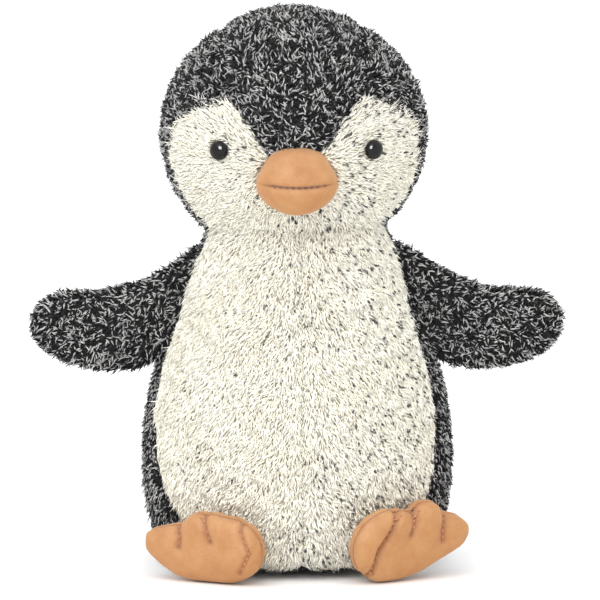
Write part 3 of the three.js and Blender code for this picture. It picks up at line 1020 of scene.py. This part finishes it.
def eye_material():
    """Polished black plastic with the faint haze and hairlines of handling."""
    paint = Paint("eye_plastic", 0.08, Specular_IOR_Level=0.22)
    paint.color(paint.ramp(paint.noise(300), [(0.3, (0.004, 0.004, 0.004)), (0.7, (0.010, 0.009, 0.009))]))
    haze = paint.noise(1500, 5.0, 0.6, stretch=(1, 1, 6))
    paint.rough(paint.ramp(haze, [(0.45, (0.05, 0.05, 0.05)), (0.8, (0.16, 0.16, 0.16))]))
    return paint.material


def washer_material():
    """Satin moulded plastic."""
    paint = Paint("washer_plastic", 0.42)
    paint.color(paint.ramp(paint.noise(250), [(0.3, (0.72, 0.71, 0.66)), (0.7, (0.83, 0.82, 0.78))]))
    paint.bump(paint.noise(1800, 5.0), 0.05 * MM, 0.4)
    return paint.material


def fibre_material():
    """White polyester fibre: fine strands in lumps."""
    paint = Paint("fibre_fill", 0.95, Sheen_Weight=0.2)
    strands = paint.noise(700, 6.0, 0.7, stretch=(1, 1, 5))
    paint.color(paint.ramp(strands, [(0.3, (0.76, 0.75, 0.71)), (0.7, (0.95, 0.945, 0.92))]))
    paint.bump(strands, 0.5 * MM, 0.8)
    return paint.material


def cotton_material():
    """Plain woven cotton, its warp and weft crossing."""
    paint = Paint("pouch_cloth", 0.9)
    waves = []
    for direction in ("X", "Z"):
        wave = paint.nodes.new("ShaderNodeTexWave")
        wave.bands_direction = direction
        wave.inputs["Scale"].default_value = 380
        paint.link(paint.place(), wave.inputs["Vector"])
        waves.append(wave.outputs["Fac"])
    weave = paint.math("MULTIPLY", *waves)
    paint.color(paint.ramp(weave, [(0.0, (0.56, 0.52, 0.44)), (0.6, (0.72, 0.68, 0.60))]))
    paint.bump(weave, 0.15 * MM, 0.7)
    return paint.material


def thread_material(name, roughness, low, high):
    """Twisted sewing thread: dark brown for the mouth, and orange between the toes."""
    paint = Paint(name, roughness)
    twist = paint.noise(2400, 2.0, 0.5, stretch=(3, 1, 1))
    paint.color(paint.ramp(twist, [(0.35, low), (0.7, high)]))
    paint.bump(twist, 0.1 * MM, 0.8)
    return paint.material


MATERIALS = {
    "dark_pile": dark_pile_material(),
    "cream_pile": cream_pile_material(),
    "dark_backing": backing_material("dark_backing", (0.012, 0.012, 0.013), (0.035, 0.035, 0.037)),
    "cream_backing": backing_material("cream_backing", (0.90, 0.84, 0.70), (0.95, 0.92, 0.82)),
    "suede": suede_material(),
    "eye_plastic": eye_material(),
    "washer_plastic": washer_material(),
    "fibre_fill": fibre_material(),
    "pouch_cloth": cotton_material(),
    "mouth_thread": thread_material("mouth_thread", 0.6, (0.055, 0.022, 0.012), (0.16, 0.07, 0.035)),
    "toe_thread": thread_material("toe_thread", 0.65, (0.36, 0.13, 0.045), (0.55, 0.23, 0.085)),
}


def paint_with(obj, name):
    """Give a piece its material."""
    obj.data.materials.clear()
    obj.data.materials.append(MATERIALS[name])


# ---------------------------------------------------------------- placing pieces


def move_with_head(obj):
    """Bake the piece's transform into its mesh."""
    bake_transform(obj)


def move_with_body(obj):
    """Bake the piece's transform into its mesh."""
    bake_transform(obj)


def move_with_flipper(obj, prefix):
    """Read the hinge at the flipper's root, and bake the piece's transform into its mesh."""
    hinge = joint(f"{prefix}_flipper_swing")
    side = 1 if hinge["pos_m"][0] > 0 else -1
    axis = Vector(hinge["axis"])
    out = Vector((0, 1, 0)).cross(axis).normalized()
    if out.x * side < 0:
        out = -out
    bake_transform(obj)


# ---------------------------------------------------------------- building


PILE_OF = {"cheek": "cream", "belly": "cream"}  # every other panel is dark
FLIPPER_ROOT = 30 * MM  # a flipper's fabric begins this far from the middle, inside the body


def kind_of(node):
    """Whether a panel's pile is cream or dark."""
    return PILE_OF.get(node.split("_")[-1], "dark")


def dress_panel(node, panel, move, comb, keep_out, seed, style=None, seams=None):
    """One fabric panel and its pile, in place of the panel's CAD node."""
    kind = kind_of(node)
    fabric = thick_panel(f"{node}_fabric", panel, BACKING)
    paint_with(fabric, f"{kind}_backing")
    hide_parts(node)
    style = style or (CREAM_PILE if kind == "cream" else DARK_PILE)
    pile = grow_pile(f"{node}_pile", panel, style, comb, keep_out, seed, seams)
    paint_with(pile, f"{kind}_pile")
    for piece in (fabric, pile):
        move(piece)


def dress_head(form):
    """The head's stuffing, and its panels with their pile."""
    fill("head_stuffing", form, STUFFING_INSET, move_with_head)
    fields = (cheek_field, gusset_field, head_middle, lambda co: co[:, 2] - NECK_BOTTOM_Z)
    panels = cut_panels(form, fields, head_labels, head_seams, lambda co: co[:, 2] > NECK_BOTTOM_Z)
    for number, (node, panel) in enumerate(sorted(panels.items())):
        seams = None if kind_of(node) == "cream" else gusset_seam
        seed = 100 + 10 * number
        dress_panel(node, panel, move_with_head, comb_head, near_face_parts, seed, seams=seams)


def dress_body(form):
    """The body's stuffing, and its panels with their pile."""
    fill("torso_stuffing", form, STUFFING_INSET, move_with_body)
    fields = (belly_field, body_middle, base_field, lambda co: co[:, 2] - NECK_TOP_Z)
    panels = cut_panels(form, fields, body_labels, body_seams, lambda co: co[:, 2] < NECK_TOP_Z)
    for number, (node, panel) in enumerate(sorted(panels.items())):
        seed = 200 + 10 * number
        if node == "base_panel":
            dress_panel(node, panel, lambda o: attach(o, "torso"), comb_base, nowhere, 290, PRESSED_PILE)
        else:
            dress_panel(node, panel, move_with_body, comb_body, nowhere, seed, seams=body_seams)


def nowhere(co):
    return np.zeros(len(co), bool)


def everywhere(co):
    return np.ones(len(co), bool)


def dress_flipper(prefix, side, form):
    """A flipper's stuffing and its two panels, which meet in an edge seam all round."""
    def edge(co):
        return co[:, 1]

    def labels(co):
        return np.where(edge(co) < 0, f"{prefix}_flipper_front", f"{prefix}_flipper_back")

    def seams(co):
        return np.abs(edge(co))

    def outside(co):
        return co[:, 0] * side > FLIPPER_ROOT

    def move(obj):
        move_with_flipper(obj, prefix)

    fill(f"{prefix}_flipper_stuffing", form, STUFFING_INSET, move)
    panels = cut_panels(form, (edge,), labels, seams, outside)
    for number, (node, panel) in enumerate(sorted(panels.items())):
        seed = 300 + 10 * number + 50 * (side < 0)
        dress_panel(node, panel, move, comb_flipper(side), lambda co: inside_body(co, -3 * MM), seed)


def build_eye(prefix):
    """A domed safety eye with a narrow flat rim, turned from one profile."""
    seat, normal = EYES[prefix]
    wide, dome_start, dome_rise, stem_r, steps, around = 4.0, 0.1, 3.0, 1.5, 12, 40
    profile = [(stem_r, -9), (stem_r, -0.8), (wide - 0.4, -0.8), (wide, -0.4), (wide, dome_start)]
    for step in range(1, steps):
        angle = step / steps * math.pi / 2
        profile.append((wide * math.cos(angle) ** 0.92, dome_start + dome_rise * math.sin(angle)))
    profile.append((0.15, dome_start + dome_rise))
    side = unit(np.cross([0, 0, 1.0], normal))
    up = np.cross(normal, side)
    cos, sin = circle(around)
    out = side * cos[:, None] + up * sin[:, None]
    rings = [seat + normal * height * MM + out * r * MM for r, height in profile]
    eye = ring_form(f"{prefix}_eye_dome", rings)
    eye.data.polygons.foreach_set("use_smooth", np.ones(len(eye.data.polygons), bool))
    paint_with(eye, "eye_plastic")
    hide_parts(f"{prefix}_eye")
    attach(eye, "head")


def inside_head(co, grow=0.0):
    """Whether each place is inside the head, made larger by grow."""
    return np.linalg.norm((co - HEAD_CENTRE) / (HEAD_HALF + grow), axis=1) < 1


def nearest_point(co, place):
    """The point of a mesh that is nearest to a place."""
    return co[np.argmin(np.linalg.norm(co - place, axis=1))]


def sew(name, thread, stitches):
    """Stitches of two-ply thread. Each is a start, an end and the way it stands up from the fabric."""
    around, steps = 10, 13
    cos, sin = circle(around)
    angle = np.arctan2(sin, cos)
    co, faces = [], []
    for number, (start, end, up) in enumerate(stitches):
        along, length = unit(end - start), np.linalg.norm(end - start)
        side = unit(np.cross(up, along))
        up = np.cross(along, side)
        for step in range(steps):
            share = step / (steps - 1)
            hump = math.sin(share * math.pi) ** 0.6
            middle = start + (end - start) * share + up * (hump * 1.5 - 0.9) * THREAD_R
            ply = 1 + 0.22 * np.cos(2 * (angle - share * length / THREAD_R * 0.9))
            r = THREAD_R * ply * (0.55 + 0.45 * hump)
            ring = middle + side * (r * np.cos(angle))[:, None] + up * (r * np.sin(angle))[:, None]
            co.append(ring)
        co.append(np.stack([start - up * THREAD_R, end - up * THREAD_R]))
        first = number * (steps * around + 2)
        last, ends = first + (steps - 1) * around, first + steps * around
        for step in range(steps - 1):
            low = first + step * around
            for i in range(around):
                a, b = low + i, low + (i + 1) % around
                faces += [[a, b, b + around], [a, b + around, a + around]]
        for i in range(around):
            j = (i + 1) % around
            faces += [[first + j, first + i, ends], [last + i, last + j, ends + 1]]
    obj = build_mesh(name, np.concatenate(co), np.array(faces))
    paint_with(obj, thread)
    return obj


def stitches_along(line, co, normals, stitch, gap):
    """Stitches laid end to end along a line of places, on the surface that co and normals give."""
    places = np.asarray(line, float)
    reach = np.concatenate([[0], np.cumsum(np.linalg.norm(np.diff(places, axis=0), axis=1))])
    made = []
    for start in np.arange(gap / 2, reach[-1] - stitch, stitch + gap):
        ends, ups = [], []
        for where in (start, start + stitch):
            place = np.array([np.interp(where, reach, places[:, axis]) for axis in range(3)])
            row = np.argmin(np.linalg.norm(co - place, axis=1))
            ends.append(place + normals[row] * ((co[row] - place) @ normals[row]))
            ups.append(normals[row])
        made.append((ends[0], ends[1], unit(ups[0] + ups[1])))
    return made


def dress_beak(form):
    """The two suede pieces of the beak and the stitches in its mouth."""
    def mouth(co):
        across = np.clip((co[:, 0] - BEAK_CENTRE[0]) / BEAK_HALF[0], -1, 1)
        return co[:, 2] - MOUTH_Z + MOUTH_BOW * np.cos(across * math.pi)

    def labels(co):
        return np.where(mouth(co) > 0, "beak_upper", "beak_lower")

    def seams(co):
        fade = np.abs(co[:, 0] - BEAK_CENTRE[0]) / (11 * MM)
        return np.abs(mouth(co)) * 1.4 + np.maximum(fade - 1, 0) * 4 * MM

    fill("beak_stuffing", form, SUEDE_STUFFING_INSET, lambda o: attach(o, "head"))
    panels = cut_panels(form, (mouth,), labels, seams, lambda co: ~inside_head(co, -3.5 * MM))
    for node, panel in sorted(panels.items()):
        piece = thick_panel(f"{node}_suede", panel, SUEDE)
        # Painted shade along the mouth seam: this crease attribute darkens the suede there.
        crease = np.exp(-((seams(points_of(piece)) / (0.9 * MM)) ** 2))
        add_attribute(piece, "crease", crease)
        paint_with(piece, "suede")
        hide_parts(node)
        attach(piece, "head")
    co, normals, _ = panels["beak_lower"]
    front = (np.abs(mouth(co)) < 0.4 * MM) & (co[:, 1] < BEAK_CENTRE[1] - 4 * MM)
    seam, seam_normals = co[front], normals[front]
    x = BEAK_CENTRE[0] + np.linspace(-1, 1, 40) * MOUTH_STITCHED / 2
    order = np.argsort(seam[:, 0])
    line = np.stack([x, *(np.interp(x, seam[order, 0], seam[order, axis]) for axis in (1, 2))], 1)
    forward = np.tile([0.0, -1.0, 0.0], (len(seam), 1))
    mouth_stitches = stitches_along(line, seam, unit(seam_normals + forward * 2), *MOUTH_STITCH)
    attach(sew("mouth_stitches", "mouth_thread", mouth_stitches), "head")


class FootFrame:
    """A foot's own directions: u outward, w up its sole, and v from the sole back to the belly."""

    def __init__(self, prefix, side):
        hinge = joint(f"{prefix}_foot_fold")
        self.origin = np.array(hinge["pos_m"])
        self.u = unit(np.array(hinge["axis"])) * side
        level = np.array([-self.u[1], self.u[0], 0.0]) * side
        self.w = np.array([0, 0, 1.0]) * math.cos(FOOT_LEAN) - level * math.sin(FOOT_LEAN)
        self.v = level * math.cos(FOOT_LEAN) + np.array([0, 0, 1.0]) * math.sin(FOOT_LEAN)

    def local(self, co):
        d = co - self.origin
        return np.stack([d @ self.u, d @ self.v, d @ self.w], 1)


MOUTH_STITCH = (1.7 * MM, 0.9 * MM)  # the length of a stitch and the gap after it
TOE_STITCH = (1.6 * MM, 1.0 * MM)

# Creases between the toes on each sole, in mm as u and w, with their depth and reach.
TOE_CREASES = {
    "right": [([[-8.5, 26], [-12, 18], [-17, 9.5], [-19, -3]], 2.4, 1.5),
              ([[-1.5, 27], [-1, 20], [-2.5, 15]], 1.7, 1.8),
              ([[14, 24], [12.5, 16], [13, 11]], 1.3, 1.9)],
    "left": [([[-6, 26], [-8, 18.5], [-9.5, 13]], 1.4, 1.8),
             ([[7, 20], [4.5, 14], [5.5, 9.5]], 1.3, 1.9),
             ([[-23, 20], [-26.5, 9], [-21, 0]], 0.9, 1.3)],
}


def dress_foot(prefix, side, form):
    """A foot's two suede pieces and the stitches between its toes."""
    place = FootFrame(prefix, side)

    def creased(local):
        """How much of a crease each point is in, and how deep that makes it."""
        share, deep = np.zeros(len(local)), np.zeros(len(local))
        both = np.where(local[:, 1] < 0, 1.0, 0.5)
        for line, depth, reach in TOE_CREASES[prefix]:
            gap = polyline_distance(local[:, [0, 2]], line)
            near = both * np.exp(-((gap / (reach * MM)) ** 2))
            share, deep = np.maximum(share, near), np.maximum(deep, near * depth * MM)
        return share, deep

    def edge(points):
        return place.local(points)[:, 1]

    def labels(points):
        return np.where(edge(points) < 0, f"{prefix}_foot_sole", f"{prefix}_foot_top")

    def seams(points):
        return np.abs(edge(points)) * 1.8

    co = points_of(form)
    co -= vertex_normals(co, triangles_of(form)) * creased(place.local(co))[1][:, None]
    co[:, 2] = np.maximum(co[:, 2], FLOOR_CLEARANCE)
    set_points(form, co)
    fill(f"{prefix}_foot_stuffing", form, SUEDE_STUFFING_INSET, lambda o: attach(o, f"{prefix}_foot"))
    panels = cut_panels(form, (edge,), labels, seams, everywhere)
    for node, panel in sorted(panels.items()):
        piece = thick_panel(f"{node}_suede", panel, SUEDE)
        inner = place.local(points_of(piece))
        # Painted shade in the toe creases and along the rim seam: this crease attribute darkens the suede there.
        toe = creased(inner)[0] ** 2 * 0.8
        rim = np.exp(-((inner[:, 1] / (0.5 * MM)) ** 2)) * 0.7
        add_attribute(piece, "crease", np.maximum(toe, rim))
        paint_with(piece, "suede")
        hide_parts(node)
        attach(piece, f"{prefix}_foot")
    sole, sole_normals, _ = panels[f"{prefix}_foot_sole"]
    stitches = []
    front = place.origin - place.v * FOOT_FRONT
    for line, _, _ in TOE_CREASES[prefix]:
        path = [front + place.u * u * MM + place.w * w * MM for u, w in line]
        stitches += stitches_along(path, sole, sole_normals, *TOE_STITCH)
    stitches = [s for s in stitches if np.linalg.norm(nearest_point(sole, s[0]) - s[0]) < 1 * MM]
    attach(sew(f"{prefix}_toe_stitches", "toe_thread", stitches), f"{prefix}_foot")


def build_forms():
    """Every stuffed form, blown up by one run of the cloth. The seams are pinned."""
    head, body, beak = head_form(), body_form(), beak_form()
    for obj in (head, body):
        voxel_remesh(obj, BODY_VOXEL)
    flippers = {prefix: flipper_form(prefix, side) for prefix, side in SIDES}
    feet = {prefix: foot_form(prefix, side) for prefix, side in SIDES}
    held = 0.8 * BODY_VOXEL
    cloths = []
    co = points_of(head)
    cloths.append((head, (head_seams(co) < held) | (co[:, 2] < NECK_BOTTOM_Z + held), BODY_SWELL))
    co = points_of(body)
    pinned = (body_seams(co) < held) | (co[:, 2] < 4 * MM) | (co[:, 2] > NECK_TOP_Z - held)
    cloths.append((body, pinned, BODY_SWELL))
    co = points_of(beak)
    cloths.append((beak, np.abs(co[:, 2] - MOUTH_Z) < SUEDE_VOXEL, SUEDE_SWELL))
    for obj in flippers.values():
        co = points_of(obj)
        cloths.append((obj, (np.abs(co[:, 1]) < FLIPPER_VOXEL * 0.6) | inside_body(co), BODY_SWELL))
    for (prefix, side), obj in zip(SIDES, feet.values()):
        local = FootFrame(prefix, side).local(points_of(obj))
        pinned = np.abs(local[:, 1]) < SUEDE_VOXEL * 0.7
        for line, _, _ in TOE_CREASES[prefix]:
            pinned |= polyline_distance(local[:, [0, 2]], line) < SUEDE_VOXEL * 0.7
        cloths.append((obj, pinned, SUEDE_SWELL))
    inflate(cloths)
    for obj, _, _ in cloths:
        refine(obj)
    return head, body, beak, flippers, feet


def dress_inner(node, finish, lump, size, body, seam=0.0):
    """A soft piece hidden inside, made lumpy by what it holds. Its sewn edge stands out by seam."""
    form = joined_copy(f"{node}_{finish}", [node])
    low, high = points_of(form).min(0), points_of(form).max(0)
    voxel_remesh(form, 2.5 * MM)
    refine(form)
    co, tri = points_of(form), triangles_of(form)
    normals = vertex_normals(co, tri)
    middle = (low + high) / 2
    edge = np.exp(-(((co[:, 2] - middle[2]) / (0.9 * MM)) ** 2)) * seam
    depth = lump * (1 + wander(co, size, len(node))[:, 0] * 0.5) + seam
    out = unit((co - middle) * [1, 1, 0])
    set_points(form, co - normals * depth[:, None] + out * edge[:, None])
    paint_with(form, finish)
    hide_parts(node)
    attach(form, body)


def paint_inner_nodes():
    """The eye washers keep their CAD shapes, and so does any other node that nothing replaces."""
    for item in frame["record"]["subparts"]:
        node, slot = item["node"], item["material_slot"]
        obj = frame["nodes"][node]
        if not obj.hide_render:
            for slot_index in range(len(obj.material_slots)):
                obj.material_slots[slot_index].material = MATERIALS[slot]


def build_toy():
    head, body, beak, flippers, feet = build_forms()
    dress_head(head)
    dress_body(body)
    dress_beak(beak)
    for prefix, side in SIDES:
        dress_flipper(prefix, side, flippers[prefix])
        dress_foot(prefix, side, feet[prefix])
        build_eye(prefix)
    dress_inner("neck_stuffing", "fibre_fill", 0.5 * MM, 9 * MM, "neck")
    dress_inner("pellet_pouch", "pouch_cloth", 0.4 * MM, 5 * MM, "torso", 1.5 * MM)
    paint_inner_nodes()


# ---------------------------------------------------------------- studio


def build_floor():
    """A wide white floor, round, so that it looks the same from every side."""
    paint = Paint("studio_white", 0.9)
    paint.color(paint.ramp(paint.noise(2), [(0.3, (0.94, 0.94, 0.945)), (0.7, (0.955, 0.955, 0.96))]))
    count, radii = 96, (0.001, 0.5, 2, 6, 16)
    cos, sin = circle(count)
    rings = [np.stack([r * cos, r * sin, np.zeros_like(cos)], 1) for r in radii]
    i = np.arange(count)
    quads = [np.stack([i, i + count, (i + 1) % count + count, (i + 1) % count], 1) + count * ring
             for ring in range(len(rings) - 1)]
    floor = build_mesh("floor", np.concatenate(rings), np.concatenate(quads))
    floor.data.materials.append(paint.material)


def add_sun(name, toward, strength, spread):
    """A broad even light from far off: the way to it, its strength and its width in degrees."""
    light = bpy.data.lights.new(name, "SUN")
    light.energy = strength
    light.angle = math.radians(spread)
    obj = bpy.data.objects.new(name, light)
    obj.rotation_euler = Vector(toward).to_track_quat("Z", "Y").to_euler()
    bpy.context.scene.collection.objects.link(obj)


def add_catchlight():
    """A window of light that shows only in glossy things, which puts a spark in each eye."""
    place, aim = Vector((-0.3, -1.35, 0.85)), Vector((0, 0, 0.17))
    light = bpy.data.lights.new("catchlight", "AREA")
    light.size = 0.8
    light.energy = 90
    obj = bpy.data.objects.new("catchlight", light)
    obj.location = place
    obj.rotation_euler = (aim - place).to_track_quat("-Z", "Y").to_euler()
    obj.visible_diffuse = False
    bpy.context.scene.collection.objects.link(obj)


def build_camera():
    """The camera faces the toy, a little towards -X and a little from above."""
    azimuth, elevation, distance = math.radians(-2.5), math.radians(8), 4.0
    width_seen = 0.245
    target = Vector((1.2 * MM, 0, 108.3 * MM))
    level = math.cos(elevation)
    back = Vector((math.sin(azimuth) * level, -math.cos(azimuth) * level, math.sin(elevation)))
    data = bpy.data.cameras.new("camera")
    data.sensor_width = 36
    data.lens = data.sensor_width * distance / width_seen
    data.clip_end = 20
    camera = bpy.data.objects.new("camera", data)
    camera.location = target + back * distance
    camera.rotation_euler = (-back).to_track_quat("-Z", "Y").to_euler()
    bpy.context.scene.collection.objects.link(camera)
    bpy.context.scene.camera = camera


def build_studio():
    build_floor()
    add_sun("key", (-0.35, -0.8, 0.9), 1.05, 55)
    add_catchlight()
    world = bpy.data.worlds.new("studio")
    world.use_nodes = True
    background = world.node_tree.nodes["Background"]
    background.inputs["Color"].default_value = (1.0, 1.0, 1.0, 1)
    background.inputs["Strength"].default_value = 1.3
    bpy.context.scene.world = world
    bpy.context.scene.view_settings.view_transform = "Standard"


build_camera()
build_toy()
build_studio()
